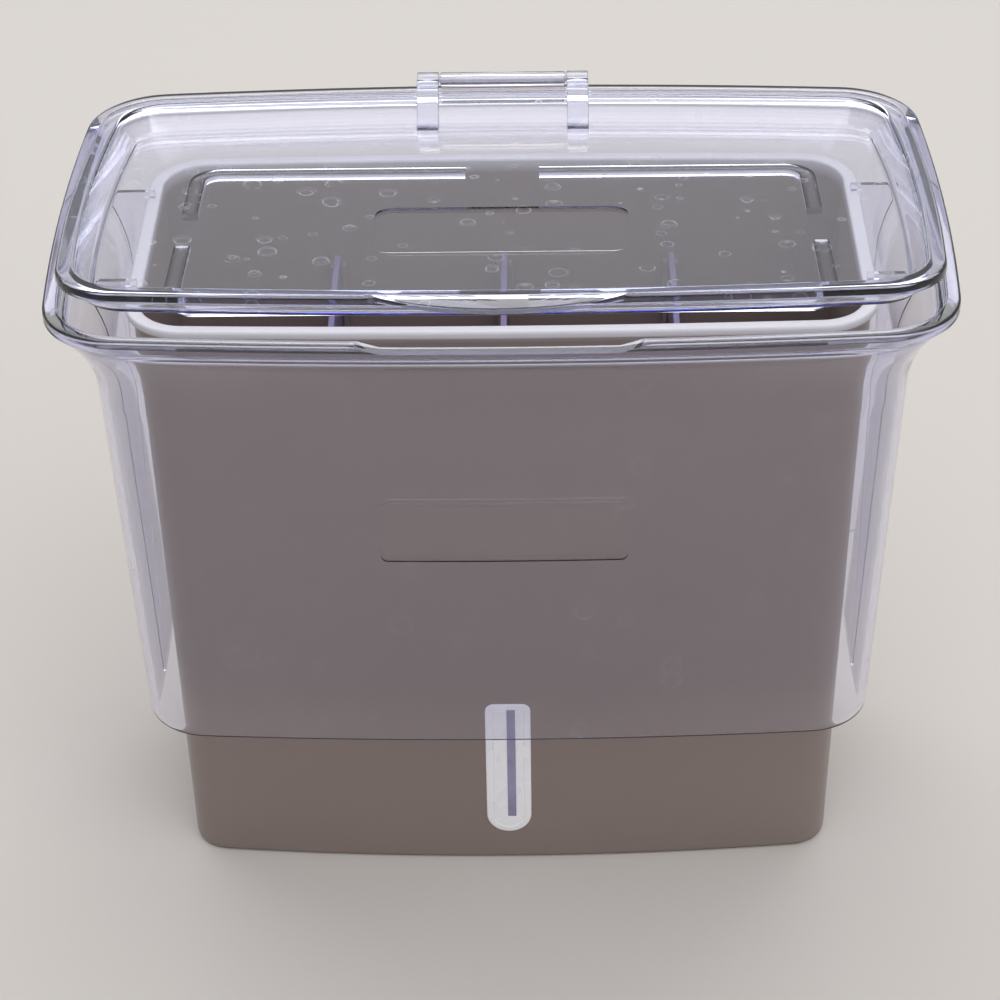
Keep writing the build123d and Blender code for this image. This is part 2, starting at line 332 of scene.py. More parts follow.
tub_profile = rounded([
    (tub_end_inset, 0, 0),
    (0, 0, 2.0),
    (0, tub_height - tub_rim_thickness, 0.6),
    (-tub_rim_overhang, tub_height - tub_rim_thickness, 0.5),
    (-tub_rim_overhang, tub_height, 0.8),
    (tub_wall, tub_height, 0.8),
    (tub_wall, tub_floor, 2.0),
    (tub_end_inset, tub_floor, 0),
])
tub = skin("tub_body", [ring(tub_sizes(p.y), p.x, p.y) for p in tub_profile], False)

window_half_width = 6.75
window_bottom = 11.0
window_top = 61.0
window_corner = 2.6
opening_near, opening_far = 30, 60


def window_outline(inset):
    """The water-level window seen from the front: round below, two small corners above."""
    half = window_half_width - inset
    line = arc(Vector((0, window_bottom + window_half_width)), half, math.pi, 2 * math.pi, 16)
    line.append(Vector((half, window_bottom + window_half_width)))
    corner = window_corner - inset / 2
    for side, start in ((1, 0), (-1, math.pi / 2)):
        end = start + math.pi / 2
        centre = Vector((side * (half - corner), window_top - inset - corner))
        line += arc(centre, corner, start, end, 5)
        line.append(centre + corner * Vector((math.cos(end), math.sin(end))))
    return line


# Stands an outline drawn in plan upright, with its thickness running to the front.
facing = Matrix(((1, 0, 0, 0), (0, 0, -1, 0), (0, 1, 0, 0), (0, 0, 0, 1)))
opening = plate("window_opening", window_outline(0), opening_near, opening_far, place=facing)
joined(tub, [opening], "DIFFERENCE")
tub.data.materials.append(tub_plastic)
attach(tub, "tub")
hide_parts("tub")

# ---------------------------------------------------------------- dividers
# Three tinted styrene plates part the tub into four herb compartments. Each slides down between
# a pair of low ribs moulded on the inside of the tub's front and back.
divider_pitch = 50.5
divider_thickness = 1.8
divider_top = tub_height - 30.1
divider_foot = tub_floor + 0.3
divider_gap = 0.4
divider_corner = 3.0
divider_edge = 0.3
groove_gap = 0.25
groove_thickness = 1.2
groove_depth = 2.5
groove_bite = 1.0
groove_top = divider_top - 4.0
groove_above_window = window_top + 5.0
moulding_wave = 22

# A dried drop's ring: its largest radius and its width as shares of the drops' spacing, the share
# of places without one, and how much it dulls the surface and veils what is behind it.
mark_radius, mark_width, mark_bare = 0.34, 0.035, 0.35
mark_dulls, mark_veils = 0.15, 0.12


def clear_styrene(
    name, depth_colour, depth, spots, marks, body="#FBFBFF", clear=1.0, roughness=0.025
):
    """Clear moulded styrene: it tints with the depth of plastic the light goes through.

    Its surface waves a little, as mouldings do, and carries the dried rings of water drops, spaced
    in millimetres by spots and made plain or faint by marks. Light that falls on what is behind it
    goes straight through.
    """
    made, tree, output = material(name)
    place = add(tree, "ShaderNodeTexCoord").outputs["Object"]
    drops = add(tree, "ShaderNodeTexVoronoi", {
        "Vector": place, "Scale": per_metre(spots), "Randomness": 1.0,
    })
    chance = add(tree, "ShaderNodeSeparateColor", {"Color": drops.outputs["Color"]})
    off = add(tree, "ShaderNodeMath", {
        0: drops.outputs["Distance"], 1: ranged(tree, chance.outputs["Red"], 0.0, mark_radius),
    }, operation="SUBTRACT")
    away = add(tree, "ShaderNodeMath", {0: off.outputs["Value"]}, operation="ABSOLUTE")
    rim = add(tree, "ShaderNodeMapRange", {
        "Value": away.outputs["Value"],
        "From Min": 0.0, "From Max": mark_width, "To Min": 1.0, "To Max": 0.0,
    })
    some = add(tree, "ShaderNodeMath", {
        0: chance.outputs["Green"], 1: mark_bare,
    }, operation="GREATER_THAN")
    dried = add(tree, "ShaderNodeMath", {
        0: rim.outputs["Result"], 1: some.outputs["Value"],
    }, operation="MULTIPLY").outputs["Value"]
    glassy = add(tree, "ShaderNodeBsdfPrincipled", {
        "Base Color": linear(body),
        "Roughness": ranged(tree, dried, roughness, roughness + mark_dulls * marks),
        "IOR": 1.57,
        "Transmission Weight": ranged(tree, dried, clear, clear - mark_veils * marks),
        "Normal": bumped(tree, noise(tree, moulding_wave, 1.0), 0.12, 0.3),
    })
    through = add(tree, "ShaderNodeBsdfTransparent", {"Color": linear("#F6F5F6")})
    path = add(tree, "ShaderNodeLightPath")
    lit = add(tree, "ShaderNodeMath", {
        0: path.outputs["Is Shadow Ray"], 1: path.outputs["Is Diffuse Ray"],
    }, operation="MAXIMUM")
    mixed = add(tree, "ShaderNodeMixShader", {
        0: lit.outputs["Value"], 1: glassy.outputs["BSDF"], 2: through.outputs["BSDF"],
    })
    tree.links.new(mixed.outputs["Shader"], output.inputs["Surface"])
    tint = add(tree, "ShaderNodeVolumeAbsorption", {
        "Color": linear(depth_colour), "Density": depth,
    })
    tree.links.new(tint.outputs["Volume"], output.inputs["Volume"])
    return made


# The dividers' styrene is tinted lilac and half milky, so that what stands behind a plate shows
# only softly through it.
divider_plastic = clear_styrene(
    "lilac_tinted_styrene_moulded", "#7A6CE0", depth=40.0, spots=16.0, marks=0.3,
    body="#C3BCEC", clear=0.55, roughness=0.12,
)


def front_of(sizes, inset, x):
    """How far an outline's bowed front stands from its middle, at a place across it."""
    half_x, half_y, bow = sizes["half_x"] - inset, sizes["half_y"] - inset, sizes["front_bow"]
    radius = (half_x**2 + bow**2) / (2 * bow)
    return half_y + bow - radius + math.sqrt(radius**2 - x**2)


def inner_y(x, z):
    """How far the tub's inside reaches front and back at a place along it, at a height."""
    return front_of(tub_sizes(z), tub_wall, x)


# Stands an outline drawn in plan upright, with its thickness running sideways.
sideways = Matrix(((0, 0, 1, 0), (1, 0, 0, 0), (0, 1, 0, 0), (0, 0, 0, 1)))
for node, x in (
    ("divider_left", -divider_pitch), ("divider_middle", 0), ("divider_right", divider_pitch),
):
    half = divider_thickness / 2
    low = inner_y(abs(x) + half, divider_foot) - divider_gap
    high = inner_y(abs(x) + half, divider_top) - divider_gap
    shoulder, level = high - divider_corner, divider_top - divider_corner
    outline = [Vector((-low, divider_foot)), Vector((low, divider_foot))]
    outline += arc(Vector((shoulder, level)), divider_corner, 0, math.pi / 2, 6)
    outline += arc(Vector((-shoulder, level)), divider_corner, math.pi / 2, math.pi, 6)
    divider = plate(node + "_plate", outline, x - half, x + half, divider_edge, sideways)
    divider.data.materials.append(divider_plastic)
    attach(divider, node)
    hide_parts(node)


def node_group(name, inputs):
    """A geometry node group with named inputs and one mesh output."""
    group = bpy.data.node_groups.new(name, "GeometryNodeTree")
    for label, kind in inputs:
        group.interface.new_socket(label, in_out="INPUT", socket_type=kind)
    group.interface.new_socket("Geometry", in_out="OUTPUT", socket_type="NodeSocketGeometry")
    return group, add(group, "NodeGroupInput"), add(group, "NodeGroupOutput")


def grown(name, group, values):
    """The mesh that a geometry node group makes from these input values, as a plain object."""
    made = bpy.data.objects.new(name, bpy.data.meshes.new(name))
    bpy.context.scene.collection.objects.link(made)
    work = made.modifiers.new(name, "NODES")
    work.node_group = group
    for item in group.interface.items_tree:
        if item.in_out == "INPUT" and item.name in values:
            work[item.identifier] = values[item.name]
    return finished(made)


# The ribs stand in pairs at each divider, front and back, leaning out with the wall.
groove_group, given, grown_out = node_group("groove_rib_rows", [
    ("Pairs", "NodeSocketInt"), ("Pitch", "NodeSocketFloat"), ("Gap", "NodeSocketFloat"),
    ("Rib Size", "NodeSocketVector"), ("Lean", "NodeSocketFloat"), ("Place", "NodeSocketVector"),
    ("Material", "NodeSocketMaterial"),
])
tree = groove_group
block = add(tree, "GeometryNodeMeshCube", {"Size": given.outputs["Rib Size"]})
spaces = add(tree, "ShaderNodeMath", {0: given.outputs["Pairs"], 1: 1.0}, operation="SUBTRACT")
spread = add(tree, "ShaderNodeMath", {
    0: spaces.outputs[0], 1: given.outputs["Pitch"],
}, operation="MULTIPLY")
start = add(tree, "ShaderNodeMath", {0: spread.outputs[0], 1: -0.5}, operation="MULTIPLY")
start_at = add(tree, "ShaderNodeCombineXYZ", {"X": start.outputs[0]})
stride = add(tree, "ShaderNodeCombineXYZ", {"X": given.outputs["Pitch"]})
row = add(tree, "GeometryNodeMeshLine", {
    "Count": given.outputs["Pairs"],
    "Start Location": start_at.outputs[0],
    "Offset": stride.outputs[0],
})
both = add(tree, "GeometryNodeJoinGeometry")
for side in (-0.5, 0.5):
    aside = add(tree, "ShaderNodeMath", {0: given.outputs["Gap"], 1: side}, operation="MULTIPLY")
    shift = add(tree, "ShaderNodeCombineXYZ", {"X": aside.outputs[0]})
    moved = add(tree, "GeometryNodeTransform", {
        "Geometry": row.outputs["Mesh"], "Translation": shift.outputs[0],
    })
    tree.links.new(moved.outputs["Geometry"], both.inputs["Geometry"])
ribs = add(tree, "GeometryNodeInstanceOnPoints", {
    "Points": both.outputs["Geometry"], "Instance": block.outputs["Mesh"],
})
lean = add(tree, "ShaderNodeCombineXYZ", {"X": given.outputs["Lean"]})
leaned = add(tree, "GeometryNodeTransform", {
    "Geometry": ribs.outputs["Instances"],
    "Rotation": lean.outputs[0],
    "Translation": given.outputs["Place"],
})
real = add(tree, "GeometryNodeRealizeInstances", {"Geometry": leaned.outputs["Geometry"]})
painted = add(tree, "GeometryNodeSetMaterial", {
    "Geometry": real.outputs["Geometry"], "Material": given.outputs["Material"],
})
tree.links.new(painted.outputs["Geometry"], grown_out.inputs["Geometry"])

# The outer dividers' ribs run from the floor, and the front's middle pair starts above the window.
groove_parts = []
for side in (-1, 1):
    middle_foot = groove_above_window if side < 0 else tub_floor
    for pairs, pitch, foot in ((2, 2 * divider_pitch, tub_floor), (1, 0.0, middle_foot)):
        low_y = inner_y(pitch / 2, foot) - groove_depth / 2
        high_y = inner_y(pitch / 2, groove_top) - groove_depth / 2
        rise = groove_top - foot
        middle_y = side * ((low_y + high_y) / 2 + groove_bite / 2)
        rib_size = (groove_thickness, groove_depth + groove_bite, math.hypot(rise, high_y - low_y))
        groove_parts.append(grown(f"groove_ribs_{side}_{pairs}", groove_group, {
            "Pairs": pairs,
            "Pitch": pitch * MILLIMETRE,
            "Gap": (divider_thickness + 2 * groove_gap + groove_thickness) * MILLIMETRE,
            "Rib Size": [size * MILLIMETRE for size in rib_size],
            "Lean": -side * math.atan2(high_y - low_y, rise),
            "Place": [0, middle_y * MILLIMETRE, (foot + groove_top) / 2 * MILLIMETRE],
            "Material": tub_plastic,
        }))
work = bmesh.new()
for part in groove_parts:
    work.from_mesh(part.data)
    bpy.data.objects.remove(part)
groove_mesh = bpy.data.meshes.new("divider_grooves")
work.to_mesh(groove_mesh)
work.free()
grooves = bpy.data.objects.new("divider_grooves", groove_mesh)
bpy.context.scene.collection.objects.link(grooves)
groove_mesh.materials.append(tub_plastic)
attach(grooves, "tub")

# ---------------------------------------------------------------- water-level window
# A frosted clear styrene strip in the tub's front, through which the water's level is seen. It
# fills an opening in the wall and stands a little proud, with a shallow groove round its face.
window_proud = 0.5
window_back = 2.0
frost_size = 8.0
frost_reach = (4, 4, 5)
sight_half_width, sight_low, sight_high, sight_middle = 1.3, 17.0, 59.0, 0.9
sight_depth, sight_gap, sight_face, sight_cut = 0.35, 0.05, 0.35, 1.5


def tub_front(x, z, depth):
    """The tub's front wall at a place across it and a height, at a depth into the wall."""
    return -front_of(tub_sizes(z), depth, x)


def window_ring(inset, depth):
    """The window's outline at a depth into the wall."""
    return [Vector((p.x, tub_front(p.x, p.y, depth), p.y)) for p in window_outline(inset)]


def sight_ring(gap, depth):
    """The sight line's long rectangle, a gap inside its slot, at a depth into the wall."""
    half, low, high = sight_half_width - gap, sight_low + gap, sight_high - gap
    corners = ((-half, low), (half, low), (half, high), (-half, high))
    return [Vector((x + sight_middle, tub_front(x, z, depth), z)) for x, z in corners]


# Insets and depths from the strip's back, over its rounded edge, to the groove and the face.
window_levels = [
    (2.6, window_back), (0, window_back), (0, -0.2), (0.15, -0.42), (0.4, -window_proud),
    (1.9, -window_proud), (2.05, -0.25), (2.25, -0.25), (2.4, -window_proud), (2.6, -window_proud),
]
window_rings = [window_ring(inset, depth) for inset, depth in window_levels]
window_glass = skin("water_level_window_strip", window_rings, False)
sight_floor = sight_depth - window_proud
sight_slot = skin("sight_slot", [sight_ring(0, sight_floor), sight_ring(0, -sight_cut)], False)
joined(window_glass, [sight_slot], "DIFFERENCE")

# Frosted styrene: milky white, half dull, with light soaking a few millimetres into it.
window_plastic, tree, output = material("frosted_clear_styrene_moulded")
frost = noise(tree, frost_size, 1.0)
strip = add(tree, "ShaderNodeBsdfPrincipled", {
    "Base Color": linear("#F6F6FA"),
    "Roughness": ranged(tree, frost, 0.2, 0.35),
    "IOR": 1.57,
    "Transmission Weight": 0.0,
    "Subsurface Weight": 0.3,
    "Subsurface Radius": [reach * MILLIMETRE for reach in frost_reach],
    "Normal": bumped(tree, frost, 0.05, 0.1),
})
tree.links.new(strip.outputs["BSDF"], output.inputs["Surface"])
window_glass.data.materials.append(window_plastic)
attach(window_glass, "tub")
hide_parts("water_level_window")

# The sight line down the window's middle is a smoked lilac styrene strip set into a slot in it,
# glossier and darker than the frosted plastic round it.
sight_levels = [sight_ring(sight_gap, sight_floor), sight_ring(sight_gap, -sight_face)]
sight = skin("window_sight_line", sight_levels, False)
sight_cloud = 9.0
sight_plastic, tree, output = material("smoked_lilac_styrene_moulded")
cloud = noise(tree, sight_cloud, 2.0)
cast = add(tree, "ShaderNodeMix", {
    "Factor": cloud, "A": linear("#7E788F"), "B": linear("#A7A2C6"),
}, data_type="RGBA")
smoked = add(tree, "ShaderNodeBsdfPrincipled", {
    "Base Color": cast.outputs["Result"],
    "Roughness": ranged(tree, cloud, 0.12, 0.25),
    "IOR": 1.57,
})
tree.links.new(smoked.outputs["BSDF"], output.inputs["Surface"])
sight.data.materials.append(sight_plastic)
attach(sight, "tub")

# ---------------------------------------------------------------- sleeve
# The clear sleeve is one styrene moulding, open at the bottom, whose top flares out to a thick flat
# rim with a seat for the lid. Ribs inside its short sides steady it on the tub, and their lugs rest
# on the tub's rim.
sleeve_forward = 1.5
sleeve_foot = (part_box("sleeve")[0] / MILLIMETRE).z
sleeve_top = tub_height + 11.9
rim_foot = sleeve_top - 3.2
flare_height = 30.0
flare_bottom = rim_foot - flare_height
rim_sizes = dict(half_x=121.7, half_y=71.9, side_bow=3.3, front_bow=5.3, corner=23.3)
neck_sizes = dict(half_x=111.4, half_y=59.1, side_bow=0.8, front_bow=5.3, corner=19.8)
hem_sizes = dict(half_x=106.8, half_y=53.2, side_bow=0.5, front_bow=4.1, corner=18.9)
sleeve_wall = 2.0
rim_wall_extra = 3.6
rim_wall_fade = 4.5
seat_width = 3.8
seat_floor = sleeve_top - 3.6
seat_straight = 1.5
hem_edge, seat_edge = 0.7, 1.0


def sleeve_sizes(z):
    """The sleeve's outline at a height: straight, then a parabola in the flare, then the rim."""
    if z < flare_bottom:
        return between(hem_sizes, neck_sizes, (z - sleeve_foot) / (flare_bottom - sleeve_foot))
    drop = max(rim_foot - z, 0)
    return between(rim_sizes, neck_sizes, 1 - (1 - drop / flare_height) ** 2)


def wall_at(z):
    """The sleeve's wall thickness, growing towards the rim."""
    return sleeve_wall + rim_wall_extra * math.exp(-max(rim_foot - z, 0) / rim_wall_fade)


sleeve_profile = rounded([
    (0, sleeve_foot, 0.6),
    (0, sleeve_top, 1.0),
    (seat_width, sleeve_top, 0.5),
    (seat_width, seat_floor, 0.3),
    (wall_at(seat_floor), seat_floor, 0.4),
    (wall_at(seat_floor), seat_floor - seat_straight, 0),
    (sleeve_wall, sleeve_foot, 0.6),
], step=2.2)
sleeve_rings = []
for p in sleeve_profile:
    # The inner wall takes its thickness from its height. The edges above and below it are as drawn.
    is_inner_wall = p.x > 1.0 and sleeve_foot + hem_edge < p.y < seat_floor - seat_edge
    inset = wall_at(p.y) if is_inner_wall else p.x
    sleeve_rings.append(ring(sleeve_sizes(p.y), inset, p.y, sleeve_forward))
sleeve = skin("sleeve_shell", sleeve_rings, True)


def side_of(sizes, inset, y):
    """How far an outline's bowed side stands from its middle, at a place along it."""
    half_x, half_y, bow = sizes["half_x"] - inset, sizes["half_y"] - inset, sizes["side_bow"]
    radius = (half_y**2 + bow**2) / (2 * bow)
    return half_x + bow - radius + math.sqrt(radius**2 - y**2)


rib_thickness = 1.6
rib_face = tub_high.x + 0.6
rib_foot = sleeve_foot + 3.0
rib_place = 26.0
rib_bite, lug_bite = 0.9, 1.5
rib_steps = 24
lug_tip = tub_high.x - 2.6
lug_top = tub_height + 1.9
rib_rise = tub_height - rib_foot
rib_heights = [rib_foot + rib_rise * step / rib_steps for step in range(rib_steps + 1)]
guide_ribs = []
for side in (-1, 1):
    for y in (-rib_place, rib_place):
        along = y + sleeve_forward
        outline = [Vector((rib_face, rib_foot))]
        outline += [Vector((side_of(sleeve_sizes(z), rib_bite, along), z)) for z in rib_heights]
        outline.append(Vector((side_of(sleeve_sizes(lug_top), lug_bite, along), lug_top)))
        outline += [Vector((lug_tip, lug_top)), Vector((lug_tip, tub_height))]
        outline.append(Vector((rib_face, tub_height)))
        place = Matrix(((side, 0, 0, 0), (0, 0, -side, y), (0, 1, 0, 0), (0, 0, 0, 1)))
        half = rib_thickness / 2
        guide_ribs.append(plate("guide_rib", outline, -half, half, 0, place))
joined(sleeve, guide_ribs, "UNION")

# The bare label recess on the sleeve's front, a shallow pocket that follows the wall. Its corners
# stop a hair short of closing, so that the pocket's two ends keep some height.
label_half_width, label_low, label_high, label_depth = 34.6, 122.4, 143.0, 0.6
label_corner, label_corner_steps, label_steps, label_corner_share = 2.0, 6, 24, 0.999
label_out = 3.0
label_straight = label_half_width - label_corner
label_ends = [
    label_half_width - label_corner * (1 - math.sin(math.pi / 2 * c / label_corner_steps))
    for c in range(label_corner_steps + 1)
]
label_xs = [-x for x in reversed(label_ends)]
label_xs += [-label_straight + 2 * label_straight * c / label_steps for c in range(1, label_steps)]
label_xs += label_ends
label_rings = []
for x in label_xs:
    past = max(abs(x) - label_straight, 0)
    cut = label_corner - math.sqrt(max(label_corner**2 - past**2, 0)) * label_corner_share
    low, high = label_low + cut, label_high - cut
    corners = ((-label_out, low), (label_depth, low), (label_depth, high), (-label_out, high))
    label_rings.append([
        Vector((x, -front_of(sleeve_sizes(z), depth, x) - sleeve_forward, z))
        for depth, z in corners
    ])
label_pocket = skin("label_pocket", label_rings, False)

# The notch in the rim's front, where the lid's thumb lip comes through.
notch_floor = sleeve_top - 2.2
notch_half, notch_slant = 31.6, 7.2
notch_top = sleeve_top + 1
notch_near, notch_far = 55, 100
notch_wide = notch_half + notch_slant * (notch_top - notch_floor) / (sleeve_top - notch_floor)
notch_line = [
    Vector((-notch_half, notch_floor)), Vector((notch_half, notch_floor)),
    Vector((notch_wide, notch_top)), Vector((-notch_wide, notch_top)),
]
notch = plate("lip_notch", notch_line, notch_near, notch_far, place=facing)
joined(sleeve, [label_pocket, notch], "DIFFERENCE")

# The hinge barrel stands on a low web along the rim's back.
rod_low, rod_high = (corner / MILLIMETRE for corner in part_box("hinge_rod"))
hinge_y = (rod_low.y + rod_high.y) / 2
hinge_z = (rod_low.z + rod_high.z) / 2
barrel_radius = 2.1
barrel_half_length = 18.9
barrel_edge = 0.5
rod_hole = 1.05
web_half_length = barrel_half_length - 0.3
web_half_width = 1.2
web_bite = 1.6
web_low, web_high = sleeve_top - web_bite, hinge_z - web_bite


def tube(name, outer, inner, start, end, rounding, steps=40):
    """A tube along X about the hinge line, its ends rounded."""
    cut = rounding * 0.3
    section = [
        (outer, start + rounding), (outer, end - rounding),
        (outer - cut, end - cut), (outer - rounding, end),
        (inner, end), (inner, start),
        (outer - rounding, start), (outer - cut, start + cut),
    ]
    turns = [2 * math.pi * step / steps for step in range(steps)]
    rings = [
        [Vector((x, hinge_y + r * math.cos(t), hinge_z + r * math.sin(t))) for r, x in section]
        for t in turns
    ]
    return skin(name, rings, True)


barrel = tube(
    "barrel", barrel_radius, rod_hole, -barrel_half_length, barrel_half_length, barrel_edge
)
web_line = [
    Vector((x * web_half_length, hinge_y + y * web_half_width))
    for x, y in ((-1, -1), (1, -1), (1, 1), (-1, 1))
]
web = plate("barrel_web", web_line, web_low, web_high)
joined(sleeve, [barrel, web], "UNION")

# The sleeve's styrene is all but clear, with a blue-lilac cast that gathers in its thick rim and
# a few faint marks of dried drops.
sleeve.data.materials.clear()
sleeve.data.materials.append(clear_styrene(
    "clear_styrene_moulded_lilac_cast", "#6A74E2", depth=34.0, spots=13.0, marks=0.3
))
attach(sleeve, "sleeve")
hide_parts("sleeve")

# ---------------------------------------------------------------- lid
# The lid is a shallow clear dish moulded in the same styrene, with a flat rim, short ridges under
# it, a bare sunk panel, a thumb lip at the front and two ears at the back that grip the hinge rod.
ajar = math.radians(4.9)
lid_edge = 4.2
lid_rim_width = 4.6
lid_rim_thickness = 3.2
lid_end_inset = 20.0
dish_depth = 7.6
dish_floor = 1.6
dish_slope = 4.2
dish_wall = 1.8
lid_depth = dish_depth + dish_floor
about_hinge = Matrix.Translation((0, hinge_y, hinge_z)) @ Matrix.Rotation(-ajar, 4, "X")
lid_place = about_hinge @ Matrix.Translation((0, -hinge_y - sleeve_forward, sleeve_top - hinge_z))
dish_edge = lid_edge + lid_rim_width
dish_foot = dish_edge + dish_slope
under = dish_edge - dish_wall + dish_slope * (lid_rim_thickness - dish_floor) / dish_depth
lid_profile = rounded([
    (lid_end_inset, -lid_depth, 0),
    (dish_foot - dish_wall, -lid_depth, 2.8),
    (under, -lid_rim_thickness, 0.6),
    (lid_edge, -lid_rim_thickness, 0.6),
    (lid_edge, 0, 1.0),
    (dish_edge, 0, 1.0),
    (dish_foot, -dish_depth, 2.2),
    (lid_end_inset, -dish_depth, 0),
], fine=6)
lid = skin("lid_dish", [ring(rim_sizes, p.x, p.y) for p in lid_profile], False, lid_place)

# Two ridges at the back and two at the front hang under the dish, each turning down a short side.
ridge_height, ridge_width, ridge_half_x, ridge_front, ridge_back = 2.2, 4.5, 90.5, -60.3, 33.0
ridge_corner, ridge_gap, ridge_leg_front, ridge_leg_back = 9.0, 10.75, -21.0, 1.0
ridge_bite = 0.6
ridge_turn_steps = 8


def bar(name, path, width, low, high, place, rounding=0.7):
    """A low ridge of even width along a path, hanging from the lid, its lower edges rounded."""
    half = width / 2
    cut = rounding * 0.3
    section = [
        (-half, high), (-half, low + rounding), (-half + cut, low + cut), (-half + rounding, low),
        (half - rounding, low), (half - cut, low + cut), (half, low + rounding), (half, high),
    ]
    rings = []
    for index, here in enumerate(path):
        before, after = path[max(index - 1, 0)], path[min(index + 1, len(path) - 1)]
        ahead = (after - before).normalized()
        out = Vector((ahead.y, -ahead.x))
        rings.append([
            Vector((here.x + out.x * off, here.y + out.y * off, z)) for off, z in section
        ])
    return skin(name, rings, False, place)


def faced_out(piece):
    """A piece with its faces turned outwards, since mirroring turns them in."""
    work = bmesh.new()
    work.from_mesh(piece.data)
    bmesh.ops.recalc_face_normals(work, faces=work.faces)
    work.to_mesh(piece.data)
    work.free()
    return piece


half_ridge = ridge_width / 2
turn_radius = ridge_corner - half_ridge
ridge_x = ridge_half_x - half_ridge
ridge_low, ridge_high = -lid_depth - ridge_height, -lid_depth + ridge_bite
ridge_rows = (
    (ridge_back - half_ridge, ridge_leg_back, 1), (ridge_front + half_ridge, ridge_leg_front, -1),
)
ridges = []
for y, leg, sign in ridge_rows:
    centre = Vector((ridge_x - turn_radius, y - sign * turn_radius))
    turns = [
        sign * (math.pi / 2 - math.pi / 2 * step / ridge_turn_steps)
        for step in range(ridge_turn_steps + 1)
    ]
    path = [Vector((ridge_gap, y))]
    path += [centre + turn_radius * Vector((math.cos(t), math.sin(t))) for t in turns]
    path.append(Vector((ridge_x, leg)))
    for side in (-1, 1):
        mirrored = [Vector((p.x * side, p.y)) for p in path]
        ridge = bar("lid_ridge", mirrored, ridge_width, ridge_low, ridge_high, lid_place)
        ridges.append(faced_out(ridge))
joined(lid, ridges, "UNION")

# The thumb lip, a flat tongue with a bowed front edge.
lip_half_width, lip_reach, lip_thickness, lip_edge, lip_steps = 36.0, 7.4, 1.8, 0.5, 40
rim_front = -rim_sizes["half_y"] - rim_sizes["front_bow"]
lip_root = rim_front + lid_edge + lid_rim_width / 2
lip_front = rim_front + lid_edge - lip_reach
lip_sag = lip_root - lip_front
lip_radius = (lip_half_width**2 + lip_sag**2) / (2 * lip_sag)
lip_turn = math.asin(lip_half_width / lip_radius)
lip_centre = Vector((0, lip_front + lip_radius))
lip_line = arc(lip_centre, lip_radius, -math.pi / 2 - lip_turn, -math.pi / 2 + lip_turn, lip_steps)
lip_line.append(Vector((lip_half_width, lip_root)))
lip = plate("thumb_lip", lip_line, -lip_thickness, 0, lip_edge, lid_place)

# Each ear is round about the rod, runs forward over the rim and down the dish's slope to its
# floor, and is sunk a little into both. Its line is drawn from the hinge, which stands ear_rise
# above the rim's top.
ear_radius, ear_width, ear_inner, ear_edge = 2.2, 6.5, 19.3, 0.4
ear_rise = hinge_z - sleeve_top
ear_reach = 16.0
ear_line = arc(Vector((0, 0)), ear_radius, -math.pi / 2, math.pi / 2, 14)
ear_line += [
    Vector((0, ear_radius)),
    Vector((-5.0, ear_radius - 1.2)),
    Vector((-9.0, 0.6 - ear_rise)),
    Vector((-ear_reach, 0.3 - ear_rise - dish_depth)),
    Vector((-ear_reach, -ear_rise - dish_depth - 0.4)),
    Vector((-12.5, -ear_rise - dish_depth - 0.4)),
    Vector((-5.0, -ear_rise - 1.2)),
    Vector((-3.2, 0.3 - ear_rise)),
]
ears = [
    plate("hinge_ear", ear_line, start, start + ear_width, ear_edge, about_hinge @ sideways)
    for start in (-ear_inner - ear_width, ear_inner)
]
joined(lid, [lip, *ears], "UNION")


def rounded_box(half_x, half_y, corner, middle, steps=6):
    """The outline of a rounded rectangle, counter-clockwise, in plan."""
    line = []
    for quarter, (sx, sy) in enumerate(((1, -1), (1, 1), (-1, 1), (-1, -1))):
        centre = Vector((middle[0] + sx * (half_x - corner), middle[1] + sy * (half_y - corner)))
        start = (quarter - 1) * math.pi / 2
        end = start + math.pi / 2
        line += arc(centre, corner, start, end, steps)
        line.append(centre + corner * Vector((math.cos(end), math.sin(end))))
    return line


# The panel sunk in the dish's floor, which is bare.
panel_half_width, panel_middle, panel_depth, panel_corner, panel_sunk = 35.6, -12.8, 30.4, 5.0, 0.5
panel_above = 3
panel_line = rounded_box(panel_half_width, panel_depth / 2, panel_corner, (0, panel_middle))
panel_low, panel_high = -dish_depth - panel_sunk, -dish_depth + panel_above
panel = plate("bare_panel", panel_line, panel_low, panel_high, 0, lid_place)
joined(lid, [panel], "DIFFERENCE")

# The lid's styrene shows more blue in its depth than the sleeve's, and plain rings all over where
# water drops have dried on it.
lid.data.materials.clear()
lid.data.materials.append(clear_styrene(
    "clear_styrene_moulded_water_marked", "#6684E4", depth=28.0, spots=8.0, marks=1.0
))
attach(lid, "lid")
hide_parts("lid")

# ---------------------------------------------------------------- hinge rod
# A slim clear rod of extruded acetal, pressed into the lid's ears and turning in the sleeve's
# barrel. The CAD rod is kept as it is. Extruding leaves it hazy and faintly streaked, which dulls
# its gloss.
rod_streak = 0.6
rod_plastic, tree, output = material("clear_acetal_rod_extruded")
rod = add(tree, "ShaderNodeBsdfPrincipled", {
    "Base Color": linear("#E6E6EE"),
    "Roughness": ranged(tree, noise(tree, rod_streak, 2.0), 0.15, 0.3),
    "IOR": 1.48,
    "Transmission Weight": 0.6,
})
tree.links.new(rod.outputs["BSDF"], output.inputs["Surface"])
hinge_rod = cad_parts["hinge_rod"]
hinge_rod.data.materials.clear()
hinge_rod.data.materials.append(rod_plastic)

